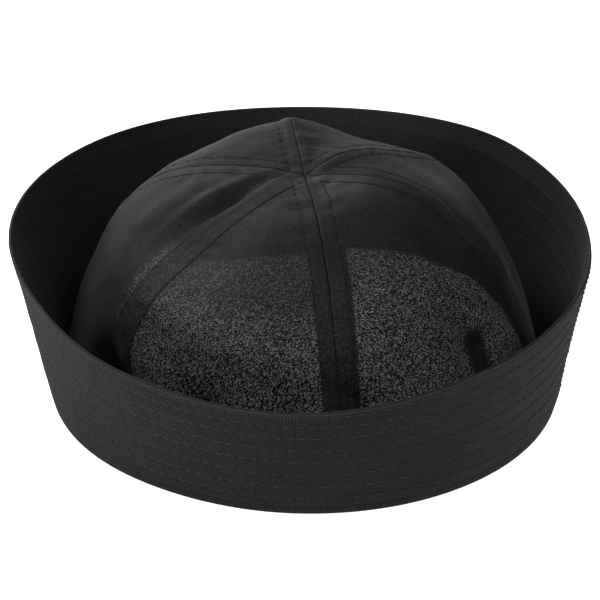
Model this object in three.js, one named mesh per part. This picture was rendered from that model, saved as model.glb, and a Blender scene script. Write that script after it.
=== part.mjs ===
// Sailor cap: a crown sewn from six gores, inside a tall turned-up brim of two plies.
// Millimetres, +Z up. The cap rests on the fold of its brim at z = 0, and its front faces -Y.
// The origin lies under the middle of the whole cap, on the surface that it rests on.

import * as THREE from 'three';
import { mergeVertices } from 'three/addons/utils/BufferGeometryUtils.js';

// Driving sizes.
const BASE_CENTRE = new THREE.Vector3(2.6, -1.4, 0);
const CLOTH_GAP = 0.3;
const CROWN_WALL = 1.4;
const TIP_ANGLE = 0.6;
const BRIM_OUTER_WALL = 1.1;
const BRIM_INNER_WALL = 1;
const BRIM_SLANT = 66;
const FOLD_RADIUS = 3.6;
const HEAD_OPENING_RADIUS = 92.6;
const SEAT_HEIGHT = BRIM_OUTER_WALL + CLOTH_GAP;

// How finely the cloth is divided. Faces that lie on each other have more steps than free ones.
const GORE_ACROSS = 12;
const GORE_DOWN = 18;
const BRIM_ROUND = 84;
const FREE_FACE_STEPS = 3;
const FACING_STEPS = 5;

// The six seams of the crown. Azimuth runs counter-clockwise from +X, seen from above.
// reach: distance from the middle of the base to the seam, at each angle from straight up.
const FROM_VERTICAL = [0, 10, 20, 30, 40, 50, 60, 70, 80, 90];
const SEAMS = [
  { name: 'left_front', azimuth: -143, reach: [86.8, 87.2, 87, 87.4, 89.6, 93.8, 94.8, 95.5, 95.6, 95.5] },
  { name: 'front', azimuth: -82, reach: [86.8, 88, 90.5, 92.5, 94.5, 95.5, 95.8, 95.8, 95.6, 95.5] },
  { name: 'right_front', azimuth: -20, reach: [86.8, 90.7, 96, 98.7, 97.6, 97.6, 95.6, 95.2, 95.3, 95.5] },
  { name: 'right_back', azimuth: 38, reach: [86.8, 92.4, 94.3, 96.4, 99.8, 98.3, 96.8, 96, 95.6, 95.5] },
  { name: 'back', azimuth: 97, reach: [86.8, 90, 96, 101.8, 99.6, 98, 96.8, 96, 95.6, 95.5] },
  { name: 'left_back', azimuth: 158, reach: [86.8, 88.4, 91.2, 94.6, 98.4, 98.8, 97, 96, 95.6, 95.5] },
];

// The gores, each from one seam to the next, and how far the cloth stands out between them.
const GORES = [
  { name: 'crown_gore_front_left', swell: 1.5 },
  { name: 'crown_gore_front_right', swell: 1.5 },
  { name: 'crown_gore_right', swell: -0.8 },
  { name: 'crown_gore_back_right', swell: -3.2 },
  { name: 'crown_gore_back_left', swell: -0.6 },
  { name: 'crown_gore_left', swell: -0.8 },
];

// Soft dents and ridges of the crown cloth. Each lies at an azimuth and an angle down from the
// vertical, spreads so many millimetres along and across its run, has its run turned from the
// slope by some degrees, and stands out by its height, which is below 0 for a dent.
const FOLDS = [
  { name: 'valley, left gore', azimuth: -156, down: 20, along: 17, across: 6, turn: 9, height: -2.8 },
  { name: 'ridge, left gore', azimuth: -175, down: 33, along: 17, across: 8, turn: 18, height: 2 },
  { name: 'dent, front right gore', azimuth: -45, down: 64, along: 17, across: 6, turn: 0, height: -4 },
  { name: 'hollow under the front seam', azimuth: -79, down: 69, along: 14, across: 8, turn: 0, height: -4 },
  { name: 'hollow by the front seam', azimuth: -96, down: 71, along: 8, across: 8, turn: 0, height: -3 },
  { name: 'hollow, front left gore', azimuth: -116, down: 70, along: 8, across: 10, turn: 0, height: -3.5 },
  { name: 'pocket under the left seam', azimuth: -147, down: 71, along: 12, across: 9, turn: 0, height: -4.5 },
];

// Sections of the brim: the radius of its wall just above the fold, and the lean from upright.
const BRIM_SECTIONS = [
  { azimuth: 0, foot: 99.6, lean: 6.8 },
  { azimuth: 30, foot: 98.6, lean: 10.4 },
  { azimuth: 60, foot: 99.8, lean: 23.2 },
  { azimuth: 90, foot: 101, lean: 30.4 },
  { azimuth: 120, foot: 100.4, lean: 24 },
  { azimuth: 150, foot: 99.6, lean: 15.6 },
  { azimuth: 180, foot: 100, lean: 11.2 },
  { azimuth: 210, foot: 99.8, lean: 12.8 },
  { azimuth: 240, foot: 98.8, lean: 23.4 },
  { azimuth: 270, foot: 100, lean: 28.6 },
  { azimuth: 300, foot: 100.6, lean: 21.2 },
  { azimuth: 330, foot: 100.6, lean: 12 },
];

const DEGREE = Math.PI / 180;
const TURN = 2 * Math.PI;
const UPRIGHT = 90 * DEGREE;
const MERGE_DISTANCE = 0.001;

const CROWN_CLOTH = new THREE.MeshStandardMaterial({ color: 0x1d1d1f, roughness: 0.7, metalness: 0 });
const BRIM_CLOTH = new THREE.MeshStandardMaterial({ color: 0x19191b, roughness: 0.85, metalness: 0 });

// A point at an azimuth and a radius from the middle of the base.
function pointRound(azimuth, radius, height) {
  return new THREE.Vector3(
    BASE_CENTRE.x + radius * Math.cos(azimuth),
    BASE_CENTRE.y + radius * Math.sin(azimuth),
    height,
  );
}

// A smooth curve through the rows of a table that goes round the cap once.
function roundTable(rows, column) {
  const places = [];
  const values = [];
  for (const turn of [-TURN, 0, TURN]) {
    for (const row of rows) {
      places.push(row.azimuth * DEGREE + turn);
      values.push(row[column]);
    }
  }
  const curve = new THREE.CubicInterpolant(places, values, 1, new Float32Array(1));
  return (azimuth) => curve.evaluate(azimuth)[0];
}

const footRadius = roundTable(BRIM_SECTIONS, 'foot');
const brimLean = roundTable(BRIM_SECTIONS, 'lean');

// The reach of all six seams at once, as a curve over the angle from the vertical.
const seamReach = new THREE.CubicInterpolant(
  FROM_VERTICAL.map((angle) => angle * DEGREE),
  FROM_VERTICAL.flatMap((_, row) => SEAMS.map((seam) => seam.reach[row])),
  SEAMS.length,
  new Float32Array(SEAMS.length),
);

// A smooth curve between the second and third of four values in a row.
function blendFour([before, start, end, after], t) {
  const startSlope = (end - before) / 2;
  const endSlope = (after - start) / 2;
  const rise = t * t * (3 - 2 * t);
  return start + (end - start) * rise + startSlope * t * (1 - t) ** 2 - endSlope * t * t * (1 - t);
}

// The shortest turn from one azimuth to another.
function turnBetween(start, end) {
  return Math.atan2(Math.sin(end - start), Math.cos(end - start));
}

// The height of every fold at one place of the crown.
function foldHeight(azimuth, down, reach) {
  let height = 0;
  for (const fold of FOLDS) {
    const sideways = turnBetween(fold.azimuth * DEGREE, azimuth) * Math.sin(down) * reach;
    const downwards = (down - fold.down * DEGREE) * reach;
    const cos = Math.cos(fold.turn * DEGREE);
    const sin = Math.sin(fold.turn * DEGREE);
    const along = (downwards * cos + sideways * sin) / fold.along;
    const across = (sideways * cos - downwards * sin) / fold.across;
    height += fold.height * Math.exp(-along * along - across * across);
  }
  return height;
}

// The seam after a gore's own, and those on either side of the two.
function seamsAround(gore) {
  return [-1, 0, 1, 2].map((step) => (gore + step + SEAMS.length) % SEAMS.length);
}

// The turn from a gore's first seam to its second.
function goreWidth(gore) {
  const [, first, second] = seamsAround(gore);
  return turnBetween(SEAMS[first].azimuth * DEGREE, SEAMS[second].azimuth * DEGREE);
}

// A point of the crown: a place from 0 to 1 between two seams, an angle from the vertical, and
// a depth below the outer face of the cloth.
function crownPoint(gore, t, down, depth) {
  const reaches = seamReach.evaluate(down);
  const azimuth = SEAMS[gore].azimuth * DEGREE + goreWidth(gore) * t;
  const swell = GORES[gore].swell * Math.sin(Math.PI * t) ** 2 * Math.sin(2 * down) ** 2;
  const smooth = blendFour(seamsAround(gore).map((seam) => reaches[seam]), t) + swell;
  const reach = smooth + foldHeight(azimuth, down, smooth) - depth;
  return pointRound(azimuth, reach * Math.sin(down), SEAT_HEIGHT + reach * Math.cos(down));
}

// Moves each point of a closed shape, then joins the points that meet.
function reshape(shape, move) {
  shape.deleteAttribute('normal');
  shape.deleteAttribute('uv');
  const place = shape.getAttribute('position');
  const point = new THREE.Vector3();
  for (let index = 0; index < place.count; index += 1) {
    point.fromBufferAttribute(place, index);
    const moved = move(point);
    place.setXYZ(index, moved.x, moved.y, moved.z);
  }
  const merged = mergeVertices(shape, MERGE_DISTANCE);
  merged.computeVertexNormals();
  return merged;
}

// One gore: a flat slab of cloth, bent onto the crown between its two seams.
function goreGeometry(gore) {
  const slab = new THREE.BoxGeometry(1, 1, 1, GORE_ACROSS, GORE_DOWN, 1);
  return reshape(slab, (point) => {
    const down = THREE.MathUtils.lerp(UPRIGHT, TIP_ANGLE * DEGREE, point.y + 0.5);
    const radius = SEAMS[gore].reach[0] * Math.sin(down);
    const edge = CLOTH_GAP / 2 / radius / goreWidth(gore);
    const t = THREE.MathUtils.lerp(edge, 1 - edge, point.x + 0.5);
    return crownPoint(gore, t, down, (0.5 - point.z) * CROWN_WALL);
  });
}

// A point of the brim: how far up its slant, and how far in from its outer face.
function brimPoint(azimuth, slant, depth) {
  const lean = brimLean(azimuth) * DEGREE;
  const radius = footRadius(azimuth) + slant * Math.sin(lean) - depth * Math.cos(lean);
  return pointRound(azimuth, radius, FOLD_RADIUS + slant * Math.cos(lean) + depth * Math.sin(lean));
}

// A point of the fold under the brim, from its lowest line (share 0) to the wall (share 1).
function foldPoint(azimuth, share, depth) {
  const lean = brimLean(azimuth) * DEGREE;
  const middle = footRadius(azimuth) - FOLD_RADIUS / Math.cos(lean);
  const angle = (UPRIGHT - lean) * share;
  const bend = FOLD_RADIUS - depth;
  return pointRound(azimuth, middle + bend * Math.sin(angle), FOLD_RADIUS - bend * Math.cos(angle));
}

// Points up or down the brim's slant at one depth, the first and the last included.
function slantPoints(azimuth, start, end, depth, steps) {
  const points = [];
  for (let step = 0; step <= steps; step += 1) {
    points.push(brimPoint(azimuth, THREE.MathUtils.lerp(start, end, step / steps), depth));
  }
  return points;
}

// The outer ply: flat foot, rounded fold, slanting wall and rounded rim.
function brimOuterSection(azimuth) {
  const wall = BRIM_OUTER_WALL;
  const rounding = wall / 3;
  return [
    pointRound(azimuth, HEAD_OPENING_RADIUS, 0),
    foldPoint(azimuth, 0, 0),
    foldPoint(azimuth, 1 / 3, 0),
    foldPoint(azimuth, 2 / 3, 0),
    foldPoint(azimuth, 1, 0),
    ...slantPoints(azimuth, BRIM_SLANT / 3, BRIM_SLANT - rounding, 0, FREE_FACE_STEPS - 1),
    brimPoint(azimuth, BRIM_SLANT, rounding),
    ...slantPoints(azimuth, BRIM_SLANT, 0, wall, FACING_STEPS),
    foldPoint(azimuth, 1, wall),
    foldPoint(azimuth, 1 / 2, wall),
    foldPoint(azimuth, 0, wall),
    pointRound(azimuth, HEAD_OPENING_RADIUS, wall),
  ];
}

// The inner ply: a plain band behind the outer ply, from above the fold to the rim.
function brimInnerSection(azimuth) {
  const near = BRIM_OUTER_WALL + CLOTH_GAP;
  const far = near + BRIM_INNER_WALL;
  const rounding = BRIM_INNER_WALL / 3;
  return [
    ...slantPoints(azimuth, 0, BRIM_SLANT, near, FACING_STEPS),
    brimPoint(azimuth, BRIM_SLANT, far - rounding),
    ...slantPoints(azimuth, BRIM_SLANT - rounding, 0, far, FREE_FACE_STEPS),
  ];
}

// A closed ring of cloth: at each place round the brim, the corners of its section in turn.
function ringGeometry(section) {
  const corners = section(0).length;
  const outline = [];
  for (let corner = 0; corner <= corners; corner += 1) {
    outline.push(new THREE.Vector2(1, corner));
  }
  const lathe = new THREE.LatheGeometry(outline, BRIM_ROUND);
  return reshape(lathe, (point) => {
    const step = Math.round(Math.atan2(point.x, point.z) / TURN * BRIM_ROUND);
    const azimuth = ((step + BRIM_ROUND) % BRIM_ROUND) / BRIM_ROUND * TURN;
    return section(azimuth)[Math.round(point.y) % corners];
  });
}

function piece(name, geometry, material) {
  const mesh = new THREE.Mesh(geometry, material);
  mesh.name = name;
  return mesh;
}

const cap = new THREE.Group();
GORES.forEach((gore, index) => cap.add(piece(gore.name, goreGeometry(index), CROWN_CLOTH)));
cap.add(piece('brim_outer_ply', ringGeometry(brimOuterSection), BRIM_CLOTH));
cap.add(piece('brim_inner_ply', ringGeometry(brimInnerSection), BRIM_CLOTH));

export default cap;
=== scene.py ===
"""Sailor cap in black cloth: six sewn gores inside a tall turned-up brim with rows of stitching.

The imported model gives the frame. Each CAD solid is replaced by a finer piece of cloth that has
the same main shape, and gets its seams, topstitching, dents and weave here.
Tables and shapes are in millimetres and degrees, as in the part, and meshes are in metres.
"""

import math

import bmesh
import bpy
import numpy as np
from mathutils import Matrix, Vector


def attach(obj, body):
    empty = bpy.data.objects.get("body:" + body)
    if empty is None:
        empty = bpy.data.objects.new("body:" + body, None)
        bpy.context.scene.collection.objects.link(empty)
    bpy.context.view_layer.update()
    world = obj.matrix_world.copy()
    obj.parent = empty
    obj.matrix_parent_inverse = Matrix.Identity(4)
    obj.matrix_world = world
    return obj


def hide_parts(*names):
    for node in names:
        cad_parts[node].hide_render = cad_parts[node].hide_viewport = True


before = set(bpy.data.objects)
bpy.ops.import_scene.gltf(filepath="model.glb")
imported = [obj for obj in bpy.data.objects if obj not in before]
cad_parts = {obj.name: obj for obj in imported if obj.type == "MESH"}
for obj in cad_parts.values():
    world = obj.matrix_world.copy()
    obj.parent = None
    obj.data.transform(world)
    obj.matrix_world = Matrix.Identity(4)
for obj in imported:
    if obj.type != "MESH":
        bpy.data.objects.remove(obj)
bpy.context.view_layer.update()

MM = 0.001

# The cap's own sizes, the same as the part's.
BASE_CENTRE = (2.6, -1.4)
CLOTH_GAP = 0.3
CROWN_WALL = 1.4
BRIM_OUTER_WALL = 1.1
BRIM_INNER_WALL = 1.0
BRIM_SLANT = 66.0
FOLD_RADIUS = 3.6
HEAD_OPENING_RADIUS = 92.6
SEAT_HEIGHT = BRIM_OUTER_WALL + CLOTH_GAP

# Each seam: its azimuth, and its distance from the middle of the base every 10 degrees down
# from straight up.
REACH_STEP = 10.0
SEAMS = [
    ("left_front", -143, [86.8, 87.2, 87, 87.4, 89.6, 93.8, 94.8, 95.5, 95.6, 95.5]),
    ("front", -82, [86.8, 88, 90.5, 92.5, 94.5, 95.5, 95.8, 95.8, 95.6, 95.5]),
    ("right_front", -20, [86.8, 90.7, 96, 98.7, 97.6, 97.6, 95.6, 95.2, 95.3, 95.5]),
    ("right_back", 38, [86.8, 92.4, 94.3, 96.4, 99.8, 98.3, 96.8, 96, 95.6, 95.5]),
    ("back", 97, [86.8, 90, 96, 101.8, 99.6, 98, 96.8, 96, 95.6, 95.5]),
    ("left_back", 158, [86.8, 88.4, 91.2, 94.6, 98.4, 98.8, 97, 96, 95.6, 95.5]),
]

# Each gore lies from its own seam to the next one, and swells out by this much in between.
GORES = [
    ("front_left", 1.5),
    ("front_right", 1.5),
    ("right", -0.8),
    ("back_right", -3.2),
    ("back_left", -0.6),
    ("left", -0.8),
]

# Folds and hollows of the crown: azimuth, angle down, spread along and across, turn of the run,
# height. A positive turn takes the run to a higher azimuth on its way down.
FOLDS = [
    (-158.5, 21, 15, 3.8, 12, -2.6),
    (-175, 33, 17, 8, 18, 2.0),
    (-45, 64, 17, 6, 0, -4.0),
    (-79, 69, 14, 8, 0, -4.0),
    (-96, 71, 8, 8, 0, -3.0),
    (-116, 70, 8, 10, 0, -3.5),
    (-147, 71, 12, 9, 0, -4.5),
    (-140, 73, 10, 11, 0, -8.0),
    (-159.5, 21, 11, 2.4, 15, -1.0),
    (-166, 27, 19, 3.6, 13, 1.5),
    (97, 27, 5, 4.2, 0, 1.3),
    (-41, 66, 12, 3.5, 0, -3.0),
    (1, 64, 42, 20, 0, -4.2),
    (-172, 76, 12, 20, 0, -2.5),
]

# The brim every 30 degrees from +X: the wall's radius above the fold, and its lean.
BRIM_FOOT = [99.6, 98.6, 99.8, 101, 100.4, 99.6, 100, 99.8, 98.8, 100, 100.6, 100.6]
BRIM_LEAN = [6.8, 10.4, 23.2, 30.4, 24, 15.6, 11.2, 12.8, 23.4, 28.6, 21.2, 12]

# Each seam's felled band stands up a little, its turned edges make a narrow welt, and a groove
# runs along its middle: band height, welt height, groove depth.
SEAM_FORM = {
    "left_front": (0.12, 0, 0.03),
    "front": (0.06, 0, 0.5),
    "right_front": (0.1, 0, 0.12),
    "right_back": (0.1, 0.1, 0.28),
    "back": (0.02, 0.3, 0.32),
    "left_back": (0.1, 0.1, 0.25),
}
WELT = 3.5
SEAM_BAND = 6.2
SEAM_STITCH = 5.8
GROOVE_WIDTH = 0.4
DIMPLE_DEPTH = 0.22
DIMPLE_WIDTH = 0.38

# Puckers along a seam: their size, and their height beside the band and on it.
PUCKER_SIZE = 6.5
PUCKER_BESIDE = 0.22
PUCKER_ON = 0.14

# Soft waves of the cloth: height, size and seed. They grow over the first of the crown's run.
CROWN_WAVES = [(0.25, 26, 11), (0.08, 9, 12)]
CROWN_WAVES_RUN = 20
BRIM_WAVES = [(0.12, 11, 31), (0.3, 60, 32)]

# How much of the sewing shows on the underside of the crown, and on the inside of the brim.
UNDERSIDE_SHARE = 0.35
INSIDE_SHARE = 0.4

# The brim's quilting: heights of the rows up the wall, and how deep and wide they press in.
# They were pulled tightest on the left, round the azimuth TIGHTEST. A line presses in just above
# the fold, and the fold itself is calm.
BRIM_ROWS = [8.1, 16.6, 25.1, 34.1, 42.2, 50.2, 57.6]
EDGE_ROW = 63.9
ROW_DEPTH = 0.22
EDGE_ROW_DEPTH = 0.1
ROW_WIDTH = 0.55
TIGHTEST = 190
TIGHT_SPREAD = 68
RIGHT_SHARE = 0.15
LEFT_EXTRA = 1.3
FOLD_LINE = 2.2
FOLD_LINE_DEPTH = 0.15
FOLD_LINE_WIDTH = 0.6
FOLD_CALM = 2

# Near its upper edge the brim is pressed thinner.
PRESSED_FROM = 58
PRESSED_OVER = 7
PRESSED_SHARE = 0.5

# Stitches: pitch and length along the row, and the thread's width and height.
CROWN_STITCH = (3.4, 2.6)
BRIM_STITCH = (4.0, 2.9)
THREAD_WIDTH = 0.55
INSIDE_THREAD_WIDTH = 0.45
THREAD_HEIGHT = 0.5

# How far the threads' middles stand out of the cloth, and how much deeper the left ones lie.
CROWN_THREAD_LIFT = 0.1
BRIM_THREAD_LIFT = 0.1
INSIDE_THREAD_LIFT = 0.05
LEFT_THREAD_SINK = 0.3

# Where bright glints are painted into the two front gores' colour, a painted highlight: azimuth
# and the angle down where it starts.
PAINTED_GLINT_EDGE = [
    (-143, 40), (-138, 38), (-115, 34.5), (-92, 32), (-73, 32),
    (-62, 34.5), (-49, 39), (-35, 48), (-26.5, 59.5), (-20, 90),
]
# Places inside it that lie in a dent and get no painted glints: azimuth from and to, and the
# angle down where it starts.
PAINTED_GLINT_GAPS = [(-44.5, -38, 57.5), (-151, -138, 61)]
# How strong the painted glints are at each of these angles down.
PAINTED_GLINT_DOWN = [32, 45, 55, 70]
PAINTED_GLINT_STRENGTH = {"front_left": [0.3, 0.4, 1.1, 2.2], "front_right": [0.5, 1.0, 1.15, 1.45]}
# It leaves a strip beside the seams, and starts over a narrow rim.
PAINTED_GLINT_RIM = 0.8
RIGHT_STRIP = 1.6
# The painted highlight on the ridge beside the left seam, on that seam's band and on the front
# one's. It starts at an angle down and grows over some degrees, and on the left it stops in the
# same way.
RIDGE_PAINTED_GLINT = 0.75
RIDGE_WIDTH = 5
SIDE_BAND_PAINTED_GLINT = 0.25
FRONT_BAND_PAINTED_GLINT = 0.14
PAINTED_GLINT_FROM = (34, 8)
SIDE_PAINTED_GLINT_TO = (58, 10)

# How finely the cloth is divided, and the radius at which the brim's weave has its true size.
GORE_ACROSS = 100
GORE_DOWN = 160
SEAM_CROWDING = 0.75
RING_ROUND = 720
RING_RADIUS = 108.2


# Shapes of the crown and the brim.

def blend_four(before, start, end, after, t):
    """The smooth curve between the second and third of four values."""
    rise = t * t * (3 - 2 * t)
    return (start + (end - start) * rise
            + (end - before) / 2 * t * (1 - t) ** 2 - (after - start) / 2 * t * t * (1 - t))


def table_down(values, place):
    """A smooth curve through a column of values, level at both of its ends."""
    values = np.asarray(values, float)
    last = len(values) - 1
    slope = np.zeros_like(values)
    slope[1:-1] = (values[2:] - values[:-2]) / 2
    low = np.clip(np.floor(place).astype(int), 0, last - 1)
    t = place - low
    rise = t * t * (3 - 2 * t)
    return (values[low] + (values[low + 1] - values[low]) * rise
            + slope[low] * t * (1 - t) ** 2 - slope[low + 1] * t * t * (1 - t))


def table_round(values, azimuth):
    """A smooth curve through values that go round the cap once."""
    values = np.asarray(values, float)
    place = np.asarray(azimuth, float) / 360 * len(values)
    low = np.floor(place).astype(int)
    four = [np.take(values, low + step, mode="wrap") for step in (-1, 0, 1, 2)]
    return blend_four(*four, place - low)


def bump(distance, width):
    """A soft bump of height 1 at distance 0."""
    return np.exp(-((distance / width) ** 2))


def step_down(distance, edge, softness):
    """1 inside an edge and 0 outside it, with a soft step."""
    t = np.clip((distance - edge) / softness + 0.5, 0, 1)
    return 1 - t * t * (3 - 2 * t)


def ramp(value, start, length):
    """0 up to the start, and from there a straight rise to 1 over the length."""
    return np.clip((value - start) / length, 0, 1)


def ripple(points, size, seed, waves=14):
    """Soft uneven waves about -1 to 1, of roughly the given size."""
    chance = np.random.default_rng(seed)
    heading = chance.normal(size=(waves, 3))
    heading /= np.linalg.norm(heading, axis=1)[:, None]
    pitch = 2 * math.pi / (size * chance.uniform(0.7, 1.6, waves))
    phase = chance.uniform(0, 2 * math.pi, waves)
    return np.sin(points @ (heading * pitch[:, None]).T + phase).sum(1) / math.sqrt(waves * 2)


def point_round(azimuth, radius, height):
    """Points round the middle of the base."""
    angle = np.radians(azimuth)
    return np.stack([BASE_CENTRE[0] + radius * np.cos(angle),
                     BASE_CENTRE[1] + radius * np.sin(angle),
                     height + 0 * angle], -1)


def gore_width(gore):
    """Degrees from a gore's own seam to the next one."""
    start, end = SEAMS[gore][1], SEAMS[(gore + 1) % len(SEAMS)][1]
    return (end - start) % 360


def gore_span(gore, down, reach):
    """Width of a gore in millimetres at an angle down from its top."""
    return np.radians(gore_width(gore)) * np.sin(np.radians(down)) * reach


def gore_reach(gore, t, down):
    """Distance from the middle of the base to a gore's outer face, dents and folds included."""
    around = [SEAMS[(gore + step) % len(SEAMS)][2] for step in (-1, 0, 1, 2)]
    reaches = [table_down(column, down / REACH_STEP) for column in around]
    angle = np.radians(down)
    swell = GORES[gore][1] * np.sin(math.pi * t) ** 2 * np.sin(2 * angle) ** 2
    smooth = blend_four(*reaches, t) + swell
    azimuth = SEAMS[gore][1] + gore_width(gore) * t
    height = 0
    for place, fold_down, along, across, turn, rise in FOLDS:
        sideways = np.radians((azimuth - place + 180) % 360 - 180) * np.sin(angle) * smooth
        downwards = np.radians(down - fold_down) * smooth
        cos, sin = math.cos(math.radians(turn)), math.sin(math.radians(turn))
        height = height + rise * (bump(downwards * cos + sideways * sin, along)
                                  * bump(sideways * cos - downwards * sin, across))
    return smooth + height


def gore_relief(gore, t, down, reach):
    """What the sewing does to a gore's outer face: felled bands, grooves, puckers, waves."""
    across = gore_span(gore, down, reach)
    run = reach * np.radians(down)
    place = gore_point(gore, t, down, reach)
    soft = sum(ripple(place, size, seed) * height for height, size, seed in CROWN_WAVES)
    relief = soft * ramp(run, 0, CROWN_WAVES_RUN)
    band = 0 * t
    for side, distance in enumerate((across * t, across * (1 - t))):
        rise, welt, groove = SEAM_FORM[SEAMS[(gore + side) % len(SEAMS)][0]]
        lift = rise * step_down(distance, SEAM_BAND, 1.2) + welt * step_down(distance, WELT, 0.9)
        band = np.maximum(band, lift)
        relief = relief - DIMPLE_DEPTH * bump(distance - SEAM_STITCH, DIMPLE_WIDTH)
        relief = relief - groove * bump(distance, GROOVE_WIDTH)
        line = np.stack([run, 0 * run, 0 * run], -1)
        pucker = ripple(line, PUCKER_SIZE, 20 + gore * 2 + side, 8)
        relief = relief + PUCKER_BESIDE * pucker * bump(distance - SEAM_BAND - 1.5, 3)
        relief = relief + PUCKER_ON * pucker * step_down(distance, SEAM_BAND, 1)
    return relief + band


def gore_point(gore, t, down, reach):
    """Points of a gore: t goes from its own seam to the next one, and down from its top."""
    angle = np.radians(down)
    azimuth = SEAMS[gore][1] + gore_width(gore) * t
    return point_round(azimuth, reach * np.sin(angle), SEAT_HEIGHT + reach * np.cos(angle))


def gore_face(gore, t, down, depth):
    """Points of a gore below its outer face; the sewing shows less on its underside."""
    reach = gore_reach(gore, t, down)
    show = np.where(depth > 0, UNDERSIDE_SHARE, 1.0)
    relief = gore_relief(gore, t, down, reach)
    return gore_point(gore, t, down, reach + relief * show - depth)


def brim_point(azimuth, slant, depth):
    """Points of the brim's wall: slant goes up it from the fold, and depth in from outside."""
    depth = depth * (1 - PRESSED_SHARE * ramp(slant, PRESSED_FROM, PRESSED_OVER))
    lean = np.radians(table_round(BRIM_LEAN, azimuth))
    radius = table_round(BRIM_FOOT, azimuth) + slant * np.sin(lean) - depth * np.cos(lean)
    height = FOLD_RADIUS + slant * np.cos(lean) + depth * np.sin(lean)
    return point_round(azimuth, radius, height)


def fold_point(azimuth, share, depth):
    """Points of the rolled fold under the wall: share 0 is the foot's end and 1 the wall's."""
    lean = np.radians(table_round(BRIM_LEAN, azimuth))
    middle = table_round(BRIM_FOOT, azimuth) - FOLD_RADIUS / np.cos(lean)
    angle = (math.pi / 2 - lean) * share
    bend = FOLD_RADIUS - depth
    return point_round(azimuth, middle + bend * np.sin(angle), FOLD_RADIUS - bend * np.cos(angle))


def left_share(azimuth):
    """1 on the left of the brim, where the rows were pulled tightest, and 0 on the right."""
    return bump(azimuth % 360 - TIGHTEST, TIGHT_SPREAD)


def stitch_count(slant):
    """How many stitches go round the brim at a height up its wall."""
    radius = np.mean(BRIM_FOOT) + slant * math.sin(math.radians(np.mean(BRIM_LEAN)))
    return round(2 * math.pi * radius / BRIM_STITCH[0])


def row_relief(azimuth, slant, strength):
    """The quilting of the brim: a dimple along each stitch row and soft rolls in between."""
    relief = 0 * azimuth
    place = brim_point(azimuth, slant, 0)
    for row in BRIM_ROWS + [EDGE_ROW]:
        pull = 0.7 + 0.3 * np.cos(np.radians(azimuth) * stitch_count(row))
        depth = ROW_DEPTH if row < EDGE_ROW else EDGE_ROW_DEPTH
        depth = depth * (RIGHT_SHARE + LEFT_EXTRA * left_share(azimuth))
        relief = relief - strength * depth * pull * bump(slant - row, ROW_WIDTH)
    relief = relief - strength * FOLD_LINE_DEPTH * bump(slant - FOLD_LINE, FOLD_LINE_WIDTH)
    for height, size, seed in BRIM_WAVES:
        relief = relief + strength * height * ripple(place, size, seed)
    return relief * ramp(slant, 0, FOLD_CALM)


# Pieces of cloth.

def shown(name, bm, node, material):
    """Makes a bmesh a finished piece: smooth, riding on the cap's body."""
    mesh = bpy.data.meshes.new(name)
    bm.to_mesh(mesh)
    bm.free()
    mesh.polygons.foreach_set("use_smooth", np.ones(len(mesh.polygons), bool))
    piece = bpy.data.objects.new(name, mesh)
    bpy.context.scene.collection.objects.link(piece)
    mesh.materials.append(material)
    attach(piece, "root")
    if node:
        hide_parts(node)


def move_all(bm, points):
    """Moves every vertex to its point, given in millimetres."""
    for vert, point in zip(bm.verts, points * MM):
        vert.co = point


def close_up(bm):
    """Joins the edges that meet and turns all faces outwards."""
    bmesh.ops.remove_doubles(bm, verts=bm.verts[:], dist=1e-6)
    bmesh.ops.recalc_face_normals(bm, faces=bm.faces[:])


def painted_glint_zone(gore, t, down, reach):
    """Strength of the painted glints: the front gores below a line, and a ridge by the left seam.
    """
    across = gore_span(gore, down, reach)
    from_start, from_end = across * t, across * (1 - t)
    lower = ramp(down, *PAINTED_GLINT_FROM)
    name = GORES[gore][0]
    if name == "left":
        away = from_end - SEAM_STITCH
        ridge = RIDGE_PAINTED_GLINT * ramp(away, 0, PAINTED_GLINT_RIM) * bump(away, RIDGE_WIDTH)
        band = SIDE_BAND_PAINTED_GLINT * step_down(away, -0.4, 0.5)
        return (ridge + band) * lower * step_down(down, *SIDE_PAINTED_GLINT_TO)
    if name not in PAINTED_GLINT_STRENGTH:
        return 0 * t
    azimuth = SEAMS[gore][1] + gore_width(gore) * t
    place, start = np.array(PAINTED_GLINT_EDGE, float).T
    inside = np.clip((down - np.interp(azimuth, place, start)) / 1.2 + 0.5, 0, 1)
    left = name == "front_left"
    for away, edge in ((from_start, SEAM_STITCH if left else SEAM_STITCH + RIGHT_STRIP),
                       (from_end, SEAM_STITCH)):
        inside = inside * ramp(away, edge, PAINTED_GLINT_RIM)
    for low, high, top in PAINTED_GLINT_GAPS:
        gap = ramp(azimuth, low, 1.2) * ramp(-azimuth, -high, 1.2)
        inside = inside * (1 - gap * ramp(down, top, 2))
    inside = inside * np.interp(down, PAINTED_GLINT_DOWN, PAINTED_GLINT_STRENGTH[name])
    band = FRONT_BAND_PAINTED_GLINT * step_down(from_end if left else from_start, SEAM_STITCH, 0.8)
    if left:
        side = step_down(from_start, SEAM_STITCH - 0.4, 0.5)
        band = band + SIDE_BAND_PAINTED_GLINT * side * step_down(down, *SIDE_PAINTED_GLINT_TO)
    return inside + band * lower


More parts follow.
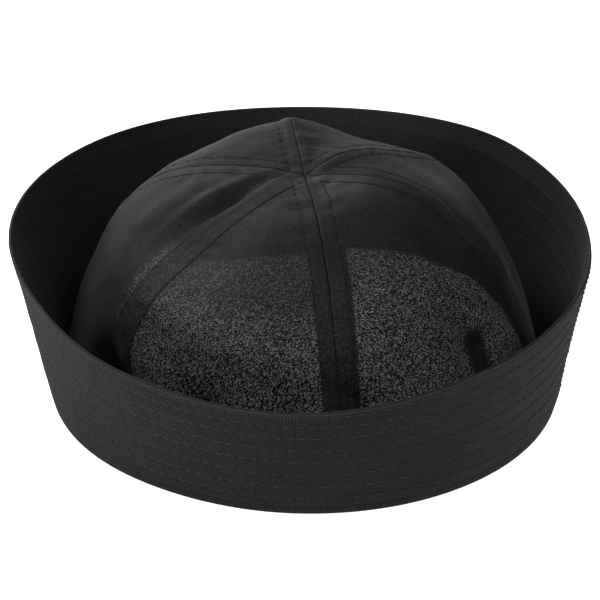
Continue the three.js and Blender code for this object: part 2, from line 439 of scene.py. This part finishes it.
def sew_gore(gore, material):
    """One gore: a slab of cloth with a closed edge, bent onto the crown."""
    name = GORES[gore][0]
    bm = bmesh.new()
    bmesh.ops.create_grid(bm, x_segments=GORE_ACROSS, y_segments=GORE_DOWN, size=0.5)
    under = bmesh.ops.extrude_face_region(bm, geom=bm.faces[:], use_keep_orig=True)
    under = [part for part in under["geom"] if isinstance(part, bmesh.types.BMVert)]
    bmesh.ops.translate(bm, verts=under, vec=(0, 0, -1))
    flat = np.array([vert.co for vert in bm.verts], float)
    u = flat[:, 0] + 0.5
    t = u - SEAM_CROWDING * np.sin(2 * math.pi * u) / (2 * math.pi)
    down = (0.5 - flat[:, 1]) * 90
    depth = np.where(flat[:, 2] < -0.5, CROWN_WALL, 0.0)
    reach = gore_reach(gore, t, down)
    angle = np.radians(down)
    mirrored = -1 if gore % 2 else 1
    along = (t - 0.5) * np.radians(gore_width(gore)) * np.sin(angle) * reach * mirrored
    cloth = bm.verts.layers.float_vector.new("cloth")
    for vert, x, y in zip(bm.verts, along, reach * angle):
        vert[cloth] = (x, y, 0)
    # The strength of the painted glints, a painted highlight, goes to the material as an
    # attribute.
    sheen = bm.verts.layers.float.new("painted_glint_zone")
    for vert, value in zip(bm.verts, painted_glint_zone(gore, t, down, reach)):
        vert[sheen] = value
    move_all(bm, gore_face(gore, t, down, depth))
    close_up(bm)
    shown(f"gore_{name}_cloth", bm, f"crown_gore_{name}", material)


def flat_height(part, place):
    """How far up the cloth a row of a ring lies when the cloth is laid out flat."""
    return {"foot": -6.0, "fold": 5 * place - 5}.get(part, place)


def bend_ring(rows, point_at):
    """A closed ring of cloth: a flat grid bent round the cap, and round its own section.

    Each row has a part, a place and a depth, and point_at puts it round the cap. The cloth lies
    flat in its UV map, so that the weave follows it.
    """
    bm = bmesh.new()
    bmesh.ops.create_grid(bm, x_segments=RING_ROUND, y_segments=len(rows), size=0.5)
    flat = np.array([vert.co for vert in bm.verts], float) + 0.5
    index = np.rint(flat[:, 1] * len(rows)).astype(int) % len(rows)
    azimuth = flat[:, 0] * 360
    points = np.zeros((len(index), 3))
    for number, (part, place, depth) in enumerate(rows):
        here = index == number
        points[here] = point_at(part, place, depth, azimuth[here] % 360)
    move_all(bm, points)
    cloth = bm.loops.layers.uv.new("cloth")
    along = (np.radians(azimuth) * RING_RADIUS).tolist()
    up = np.array([flat_height(part, place) for part, place, depth in rows])[index].tolist()
    bm.verts.index_update()
    for face in bm.faces:
        for corner in face.loops:
            vert = corner.vert.index
            corner[cloth].uv = (along[vert], up[vert])
    close_up(bm)
    return bm


def slant_stations():
    """Heights up the brim's wall, close together beside each stitch row."""
    spots = set()
    for row in [FOLD_LINE] + BRIM_ROWS + [EDGE_ROW]:
        for away in (-2.2, -1.3, -0.8, -0.4, 0, 0.4, 0.8, 1.3, 2.2):
            spots.add(round(row + away, 3))
    for low, high in zip([FOLD_LINE] + BRIM_ROWS, BRIM_ROWS + [EDGE_ROW]):
        spots.add(round((low + high) / 2 - 0.9, 3))
        spots.add(round((low + high) / 2 + 0.9, 3))
    return sorted(spot for spot in spots if 0 < spot < BRIM_SLANT - 0.7)


def rim_bend(outer, wall, turns):
    """Rows over the rounded upper edge of a ply, from its outer side inwards."""
    radius = wall / 2
    turns = np.radians(turns)
    return [("rim", BRIM_SLANT - radius + radius * math.sin(turn),
             outer + radius - radius * math.cos(turn)) for turn in turns]


def make_brim_outer(material):
    """The outer ply: its foot under the crown, the rolled fold, the wall and the rim."""
    wall = BRIM_OUTER_WALL
    rows = [("foot", HEAD_OPENING_RADIUS, 0.0), ("foot", HEAD_OPENING_RADIUS + 2, 0.0)]
    rows += [("fold", share, 0.0) for share in np.linspace(0, 1, 9)]
    rows += [("wall", slant, 0.0) for slant in slant_stations()]
    rows += rim_bend(0, wall + CLOTH_GAP, range(0, 121, 24))
    rows += [("back", BRIM_SLANT - 0.1, wall + CLOTH_GAP)]
    rows += [("back", BRIM_SLANT - 2, wall + CLOTH_GAP)]
    rows += [("back", slant, wall) for slant in np.linspace(BRIM_SLANT - 4, 0, 12)]
    rows += [("fold", share, wall) for share in np.linspace(1, 0, 5)]
    rows += [("foot", HEAD_OPENING_RADIUS, wall)]

    def point_at(part, place, depth, azimuth):
        if part == "foot":
            return point_round(azimuth, place, depth)
        if part == "fold":
            return fold_point(azimuth, place, depth)
        if part == "back":
            return brim_point(azimuth, place, depth)
        fade = 1 - depth / (wall + CLOTH_GAP)
        lift = row_relief(azimuth, min(place, BRIM_SLANT - 0.7), fade)
        return brim_point(azimuth, place, depth - lift)

    bm = bend_ring(rows, point_at)
    shown("brim_outer_cloth", bm, "brim_outer_ply", material)


def make_brim_inner(material):
    """The inner ply: a plain band behind the outer one."""
    near = BRIM_OUTER_WALL + CLOTH_GAP
    far = near + BRIM_INNER_WALL
    rows = [("back", slant, near) for slant in np.linspace(0, BRIM_SLANT - 2, 12)]
    rows += [("back", BRIM_SLANT - 0.1, near)]
    rows += rim_bend(near, BRIM_INNER_WALL, range(60, 181, 24))
    rows += [("wall", slant, far) for slant in reversed(slant_stations())]
    rows += [("wall", 0.0, far)]

    def point_at(part, place, depth, azimuth):
        if part == "back":
            return brim_point(azimuth, place, depth)
        fade = INSIDE_SHARE * (depth - near) / BRIM_INNER_WALL
        lift = row_relief(azimuth, min(place, BRIM_SLANT - 0.5), fade)
        return brim_point(azimuth, place, depth + lift)

    bm = bend_ring(rows, point_at)
    shown("brim_inner_cloth", bm, "brim_inner_ply", material)


# Stitches.

def one_stitch():
    """A stitch of length, width and height 2: a thread that tapers into the cloth at its ends."""
    bm = bmesh.new()
    bmesh.ops.create_uvsphere(bm, u_segments=6, v_segments=5, radius=1)
    mesh = bpy.data.meshes.new("stitch")
    bm.to_mesh(mesh)
    bm.free()
    return mesh


STITCH = one_stitch()


def sew_row(bm, starts, ends, outward, width):
    """A row of stitches along the cloth, from each start to its end."""
    row = bmesh.new()
    for start, end, up in zip(starts, ends, outward):
        along = Vector((end - start) / 2 * MM)
        up = Vector(up).normalized()
        side = up.cross(along).normalized() * (width / 2 * MM)
        place = Matrix((side, up * (THREAD_HEIGHT / 2 * MM), along)).transposed().to_4x4()
        place.translation = Vector((start + end) / 2 * MM)
        stitch = STITCH.copy()
        stitch.transform(place)
        row.from_mesh(stitch)
        bpy.data.meshes.remove(stitch)
    mesh = bpy.data.meshes.new("row")
    row.to_mesh(mesh)
    row.free()
    bm.from_mesh(mesh)
    bpy.data.meshes.remove(mesh)


def gore_spots(gore, t, down, lift):
    """Points on a gore's outer face, and the directions out of it."""
    here = gore_face(gore, t, down, 0 * t)
    aside = gore_face(gore, t + 0.004, down, 0 * t) - here
    below = gore_face(gore, t, down + 0.3, 0 * t) - here
    out = np.cross(below, aside)
    out /= np.linalg.norm(out, axis=1)[:, None]
    return here + out * lift, out


def sew_crown_seam(seam, material):
    """The two rows of topstitching that hold down a seam's allowances."""
    name = SEAMS[seam][0]
    bm = bmesh.new()
    for gore, first in ((seam, True), ((seam - 1) % len(SEAMS), False)):
        down = np.linspace(3, 88, 900)
        t = np.full_like(down, 0.5)
        for _ in range(6):
            share = SEAM_STITCH / gore_span(gore, down, gore_reach(gore, t, down))
            t = np.clip(share if first else 1 - share, 0, 1)
        keep = share < 0.5
        line = gore_face(gore, t, down, 0 * t)[keep]
        run = np.concatenate([[0], np.cumsum(np.linalg.norm(np.diff(line, axis=0), axis=1))])
        pitch, length = CROWN_STITCH
        begin = np.arange(0.4, run[-1] - pitch, pitch)
        place = [np.interp(begin + shift, run, column) for shift in (0, length)
                 for column in (t[keep], down[keep])]
        starts, out = gore_spots(gore, place[0], place[1], CROWN_THREAD_LIFT)
        ends, _ = gore_spots(gore, place[2], place[3], CROWN_THREAD_LIFT)
        sew_row(bm, starts, ends, out, THREAD_WIDTH)
    shown(f"seam_stitches_{name}", bm, None, material)


def sew_brim_rows(name, rows, outside, material):
    """Rows of stitching round one face of the brim."""
    pitch, length = BRIM_STITCH
    inner_face = BRIM_OUTER_WALL + CLOTH_GAP + BRIM_INNER_WALL
    bm = bmesh.new()
    for row in rows:
        count = stitch_count(row)
        begin = np.arange(count) / count * 360
        shift = 360 / count * length / pitch
        if outside:
            middle = begin + shift / 2
            depth = (-row_relief(middle, row, 1.0) - BRIM_THREAD_LIFT
                     + LEFT_THREAD_SINK * left_share(middle))
        else:
            depth = inner_face + row_relief(begin, row, INSIDE_SHARE) - INSIDE_THREAD_LIFT
        starts = brim_point(begin, row, depth)
        ends = brim_point(begin + shift, row, depth)
        above = brim_point(begin, row + 1, depth) - starts
        out = np.cross(ends - starts, above)
        sew_row(bm, starts, ends, out if outside else -out,
                THREAD_WIDTH if outside else INSIDE_THREAD_WIDTH)
    shown(name, bm, None, material)


# Materials.

def new_group(name, takes, gives):
    """A shared effect with named inputs and outputs."""
    group = bpy.data.node_groups.new(name, "ShaderNodeTree")
    for label, kind, value in takes:
        socket = group.interface.new_socket(label, in_out="INPUT", socket_type=kind)
        if value is not None:
            socket.default_value = value
    for label in gives:
        group.interface.new_socket(label, in_out="OUTPUT", socket_type="NodeSocketFloat")
    return group


class Nodes:
    """Adds nodes to a tree and joins them."""

    def __init__(self, tree):
        self.tree = tree

    def add(self, kind, inputs=(), **settings):
        """A node with its settings and its inputs, which are values or other nodes' outputs."""
        node = self.tree.nodes.new(kind)
        for key, value in settings.items():
            setattr(node, key, value)
        for key, value in dict(inputs).items():
            self.feed(node.inputs[key], value)
        return node

    def feed(self, socket, value):
        """Joins an output to a socket, or sets the socket to a plain value."""
        if isinstance(value, bpy.types.NodeSocket):
            self.tree.links.new(value, socket)
        else:
            socket.default_value = value

    def math(self, operation, *values, clamp=False):
        """A sum of outputs or plain values."""
        node = self.add("ShaderNodeMath", enumerate(values), operation=operation, use_clamp=clamp)
        return node.outputs[0]

    def blend(self, share, first, second):
        """A colour from first at share 0 to second at share 1."""
        node = self.add("ShaderNodeMix", data_type="RGBA")
        for socket, value in zip((0, 6, 7), (share, first, second)):
            self.feed(node.inputs[socket], value)
        return node.outputs[2]

    def remap(self, value, low, high, to_low=0.0, to_high=1.0):
        """Stretches the span from low to high onto another one, and stops at its ends."""
        spots = {"Value": value, "From Min": low, "From Max": high,
                 "To Min": to_low, "To Max": to_high}
        return self.add("ShaderNodeMapRange", spots).outputs[0]

    def noise(self, place, scale, detail):
        """Soft uneven clouds, about 0.3 to 0.7."""
        spots = {"Vector": place, "Scale": scale, "Detail": detail}
        return self.add("ShaderNodeTexNoise", spots).outputs[0]


def weave_group():
    """Threads side by side: a height, and a fleck that differs from thread to thread."""
    group = new_group(
        "thread_weave",
        [("Cloth", "NodeSocketVector", None), ("Turn", "NodeSocketFloat", 0.0),
         ("Pitch", "NodeSocketFloat", 0.8), ("Float Length", "NodeSocketFloat", 1.6)],
        ["Height", "Fleck", "Slub"],
    )
    n = Nodes(group)
    takes = n.add("NodeGroupInput").outputs
    turned = n.add("ShaderNodeVectorRotate", {"Vector": takes["Cloth"], "Angle": takes["Turn"]},
                   rotation_type="Z_AXIS").outputs[0]
    parts = n.add("ShaderNodeSeparateXYZ", {0: turned}).outputs
    wobble = n.math("MULTIPLY", n.noise(turned, 0.35, 1.0), 0.5)
    across = n.math("ADD", n.math("DIVIDE", parts["Y"], takes["Pitch"]), wobble)
    along = n.math("DIVIDE", parts["X"], takes["Float Length"])
    ridge = n.math("ABSOLUTE", n.math("SINE", n.math("MULTIPLY", across, math.pi)))
    cell = n.add("ShaderNodeCombineXYZ", {"X": along, "Y": across}).outputs[0]
    spots = n.add("ShaderNodeTexVoronoi", {"Vector": cell, "Scale": 1.0, "Randomness": 0.8},
                  voronoi_dimensions="2D")
    fleck = n.add("ShaderNodeSeparateColor", {0: spots.outputs["Color"]}).outputs[0]
    dome = n.remap(spots.outputs["Distance"], 0.0, 0.75, 1.0, 0.0)
    n.add("NodeGroupOutput", {
        "Height": n.math("ADD", ridge, n.math("MULTIPLY", dome, 0.5)),
        "Fleck": fleck,
        "Slub": n.noise(cell, 0.5, 2.0)})
    return group


def wear_group():
    """Soft uneven dye and handling over a wide area, and fine lint."""
    group = new_group(
        "dye_and_lint",
        [("Place", "NodeSocketVector", None), ("Patch Size", "NodeSocketFloat", 0.03)],
        ["Patches", "Lint"],
    )
    n = Nodes(group)
    takes = n.add("NodeGroupInput").outputs
    patches = n.noise(takes["Place"], n.math("DIVIDE", 1.0, takes["Patch Size"]), 3.0)
    lint = n.noise(takes["Place"], 900.0, 1.0)
    n.add("NodeGroupOutput", {
        "Patches": n.remap(patches, 0.3, 0.7),
        "Lint": n.remap(lint, 0.62, 0.8)})
    return group


WEAVE = weave_group()
WEAR = wear_group()


def blank_material(name):
    """A new material with an empty tree, and the hand that fills it."""
    material = bpy.data.materials.new(name)
    material.use_nodes = True
    material.node_tree.nodes.clear()
    return material, Nodes(material.node_tree)


def cloth_material(name, dark, light, turn, pitch, float_length, bump_distance, bump_strength,
                   groove_shade_share, fleck_share, patch_share, painted_glints=None, painted_rim_highlight=None, **shader):
    """A woven cloth: the weave's height shapes its surface and lifts its colour, so that the
    colour is darker between the threads, as painted shade.

    The glint settings paint bright flecks into the colour, and the rim settings paint the top
    edge
    of a ply lighter: both are painted highlight.
    """
    material, n = blank_material(name)
    cloth = n.add("ShaderNodeAttribute", attribute_name="cloth",
                  attribute_type="GEOMETRY").outputs["Vector"]
    place = n.add("ShaderNodeTexCoord").outputs["Object"]
    weave = n.add("ShaderNodeGroup", {
        "Cloth": cloth, "Turn": math.radians(turn), "Pitch": pitch,
        "Float Length": float_length}, node_tree=WEAVE).outputs
    wear = n.add("ShaderNodeGroup", {"Place": place}, node_tree=WEAR).outputs
    # Painted shade: the colour is lighter on the threads' tops and darker between them.
    tone = n.math("MULTIPLY", n.remap(weave["Height"], 0.2, 1.3), groove_shade_share)
    tone = n.math("ADD", tone, n.math("MULTIPLY", weave["Fleck"], fleck_share))
    tone = n.math("ADD", tone, n.math("MULTIPLY", wear["Patches"], patch_share))
    slub = n.math("MULTIPLY", n.remap(weave["Slub"], 0.3, 0.7), 0.15)
    tone = n.math("ADD", tone, slub, clamp=True)
    colour = n.blend(tone, (*dark, 1), (*light, 1))
    rough = n.remap(tone, 0.0, 1.0, 0.78, 0.62)
    # Painted highlight: bright flecks painted into the colour where the front light glints, with
    # the colour darkened between them.
    if painted_glints:
        painted_glint_mask = n.add("ShaderNodeAttribute", attribute_name="painted_glint_zone",
                     attribute_type="GEOMETRY").outputs["Fac"]
        glint_weave = n.add("ShaderNodeGroup", {
            "Cloth": cloth, "Turn": math.radians(turn), "Pitch": painted_glints["pitch"],
            "Float Length": painted_glints["float"]}, node_tree=WEAVE).outputs
        glint = n.math("POWER", n.remap(glint_weave["Fleck"], painted_glints["low"], 1.0), painted_glints["power"])
        glint = n.math("MULTIPLY", glint, n.remap(glint_weave["Height"], 0.3, 1.2))
        glint = n.math("MULTIPLY", glint, painted_glint_mask)
        colour = n.blend(n.math("MULTIPLY", painted_glint_mask, 0.6, clamp=True), colour, (*dark, 1))
        colour = n.blend(glint, colour, (*painted_glints["colour"], 1))
        rough = n.math("SUBTRACT", rough, n.math("MULTIPLY", glint, 0.25))
    # Painted highlight: the top edge of the ply painted lighter, where light from above falls on
    # it.
    if painted_rim_highlight:
        up = n.add("ShaderNodeSeparateXYZ", {0: cloth}).outputs[1]
        rim_highlight_share = n.remap(up, painted_rim_highlight["place"], painted_rim_highlight["place"] + 0.4)
        colour = n.blend(rim_highlight_share, colour, (*painted_rim_highlight["colour"], 1))
    colour = n.blend(n.math("MULTIPLY", wear["Lint"], 0.12), colour, (0.06, 0.06, 0.06, 1))
    relief = n.add("ShaderNodeBump", {
        "Strength": bump_strength, "Distance": bump_distance, "Height": weave["Height"]})
    surface = n.add("ShaderNodeBsdfPrincipled", {
        "Base Color": colour, "Roughness": rough, "Normal": relief.outputs[0], **shader})
    n.add("ShaderNodeOutputMaterial", {"Surface": surface.outputs[0]})
    return material


def thread_material(name, colour, **shader):
    """Sewing thread: twisted plies along each stitch."""
    material, n = blank_material(name)
    place = n.add("ShaderNodeTexCoord").outputs["Object"]
    twist = n.add("ShaderNodeTexWave", {"Vector": place, "Scale": 900.0, "Distortion": 2.0},
                  bands_direction="DIAGONAL").outputs["Fac"]
    fuzz = n.noise(place, 1500.0, 2.0)
    tone = n.math("ADD", n.math("MULTIPLY", twist, 0.6), n.math("MULTIPLY", fuzz, 0.4))
    shade = n.blend(tone, (*[part * 0.5 for part in colour], 1), (*colour, 1))
    relief = n.add("ShaderNodeBump", {"Strength": 0.4, "Distance": 0.0001, "Height": tone})
    surface = n.add("ShaderNodeBsdfPrincipled", {
        "Base Color": shade, "Roughness": n.remap(fuzz, 0, 1, 0.45, 0.65),
        "Normal": relief.outputs[0], **shader})
    n.add("ShaderNodeOutputMaterial", {"Surface": surface.outputs[0]})
    return material


# The crown's glint settings paint a highlight into its colour.
CROWN = cloth_material(
    "black_twill", dark=(0.0015, 0.0015, 0.0016), light=(0.0215, 0.0215, 0.0225),
    turn=42, pitch=0.42, float_length=0.6, bump_distance=0.0002, bump_strength=0.4,
    groove_shade_share=0.25, fleck_share=0.6, patch_share=0.15,
    painted_glints={"pitch": 0.25, "float": 0.45, "low": 0.35, "power": 2.1, "colour": (0.55, 0.55, 0.56)},
    **{"Specular IOR Level": 0.2, "Sheen Weight": 0.19, "Sheen Roughness": 0.3})
# The rim settings of the brim and the lining below paint their top edge lighter, a painted
# highlight.
BRIM = cloth_material(
    "black_ribbed_cotton", dark=(0.0005, 0.0005, 0.0006), light=(0.0152, 0.0152, 0.0158),
    turn=90, pitch=0.85, float_length=2.2, bump_distance=0.0003, bump_strength=0.7,
    groove_shade_share=0.95, fleck_share=0.3, patch_share=0.1,
    painted_rim_highlight={"place": 64.9, "colour": (0.036, 0.036, 0.037)},
    **{"Specular IOR Level": 0.08, "Sheen Weight": 0.06, "Sheen Roughness": 0.3})
LINING = cloth_material(
    "black_facing_cotton", dark=(0.008, 0.008, 0.0083), light=(0.024, 0.024, 0.0251),
    turn=90, pitch=0.5, float_length=1.6, bump_distance=0.0001, bump_strength=0.25,
    groove_shade_share=0.4, fleck_share=0.3, patch_share=0.2,
    painted_rim_highlight={"place": 65.1, "colour": (0.03, 0.03, 0.031)},
    **{"Specular IOR Level": 0.2, "Sheen Weight": 0.05, "Sheen Roughness": 0.5})
CROWN_THREAD = thread_material(
    "black_topstitch_thread", (0.012, 0.012, 0.0125), **{"Specular IOR Level": 0.25})
BRIM_THREAD = thread_material(
    "black_quilting_thread", (0.036, 0.036, 0.037),
    **{"Specular IOR Level": 0.4, "Sheen Weight": 0.16, "Sheen Roughness": 0.3})

# The cap.
for gore_number in range(len(GORES)):
    sew_gore(gore_number, CROWN)
    sew_crown_seam(gore_number, CROWN_THREAD)
make_brim_outer(BRIM)
make_brim_inner(LINING)
sew_brim_rows("brim_stitches_lower", BRIM_ROWS[:4], True, BRIM_THREAD)
sew_brim_rows("brim_stitches_upper", BRIM_ROWS[4:] + [EDGE_ROW], True, BRIM_THREAD)
sew_brim_rows("brim_stitches_inside", BRIM_ROWS[2:] + [EDGE_ROW], False, CROWN_THREAD)


# The studio.

def floor_piece():
    """A plain pale floor. It looks lit to the camera and gives the cap a softer light."""
    bm = bmesh.new()
    bmesh.ops.create_grid(bm, x_segments=1, y_segments=1, size=4)
    mesh = bpy.data.meshes.new("floor")
    bm.to_mesh(mesh)
    bm.free()
    floor = bpy.data.objects.new("floor", mesh)
    bpy.context.scene.collection.objects.link(floor)
    material, n = blank_material("pale_floor")
    direct = n.add("ShaderNodeLightPath").outputs["Is Camera Ray"]
    surface = n.add("ShaderNodeBsdfPrincipled", {
        "Base Color": (0.92, 0.92, 0.92, 1), "Roughness": 0.9, "Specular IOR Level": 0.1,
        "Emission Color": (1, 1, 1, 1), "Emission Strength": n.remap(direct, 0, 1, 0.45, 1.1)})
    n.add("ShaderNodeOutputMaterial", {"Surface": surface.outputs[0]})
    mesh.materials.append(material)


def studio_world():
    """White to the camera, and nearly dark as a light."""
    world = bpy.data.worlds.new("studio")
    bpy.context.scene.world = world
    world.use_nodes = True
    n = Nodes(world.node_tree)
    backdrop = world.node_tree.nodes["Background"]
    seen = n.add("ShaderNodeLightPath").outputs["Is Camera Ray"]
    n.feed(backdrop.inputs["Color"], (1, 1, 1, 1))
    n.feed(backdrop.inputs["Strength"], n.remap(seen, 0, 1, 0.03, 1.2))


def soft_light(name, place, target, size, power):
    """A soft panel of light that faces the cap."""
    light = bpy.data.lights.new(name, "AREA")
    light.shape = "RECTANGLE"
    light.size, light.size_y = size
    light.energy = power
    lamp = bpy.data.objects.new(name, light)
    bpy.context.scene.collection.objects.link(lamp)
    lamp.location = place
    lamp.rotation_mode = "QUATERNION"
    lamp.rotation_quaternion = (Vector(target) - Vector(place)).to_track_quat("-Z", "Y")


# Soft panels round the table: place, width and height, and power.
PANELS = {
    "top_panel": ((0, 0.1, 1.7), (1.2, 1.2), 1.6),
    "top_front_panel": ((0.65, -1.0, 1.5), (1, 1), 8.4),
    "top_right_panel": ((1.1, -0.2, 1.5), (0.8, 0.8), 0.6),
    "back_panel": ((0, 1.8, 0.5), (1.2, 0.5), 2.2),
    "back_left_panel": ((-1.1, 1.1, 1.3), (1, 1), 12),
    "back_left_low_panel": ((-0.8, 1.7, 0.55), (0.9, 0.5), 6),
    "left_front_low_panel": ((-1.55, -0.95, 0.34), (0.9, 0.45), 18.5),
    "right_panel": ((1.8, -0.2, 0.45), (0.9, 0.6), 0.3),
}
LIGHTS_AIM = (0, 0, 0.04)

# The camera of the photo's view: its place, lens, heading from +Y, and the drop of its view.
CAMERA_PLACE = (0.00196, -0.70282, 0.40475)
CAMERA_LENS = 122.04
CAMERA_HEADING = math.radians(-0.0974)
CAMERA_DROP = math.radians(27.8065)

floor_piece()
studio_world()
for panel, (spot, size, power) in PANELS.items():
    soft_light(panel, spot, LIGHTS_AIM, size, power)

camera_data = bpy.data.cameras.new("camera")
camera_data.lens = CAMERA_LENS
camera_data.sensor_width = 36
camera_data.clip_start = 0.01
camera = bpy.data.objects.new("camera", camera_data)
bpy.context.scene.collection.objects.link(camera)
camera.location = CAMERA_PLACE
camera.rotation_mode = "QUATERNION"
camera.rotation_quaternion = Vector((
    math.sin(CAMERA_HEADING) * math.cos(CAMERA_DROP),
    math.cos(CAMERA_HEADING) * math.cos(CAMERA_DROP),
    -math.sin(CAMERA_DROP),
)).to_track_quat("-Z", "Y")
bpy.context.scene.camera = camera
bpy.context.scene.view_settings.view_transform = "Standard"
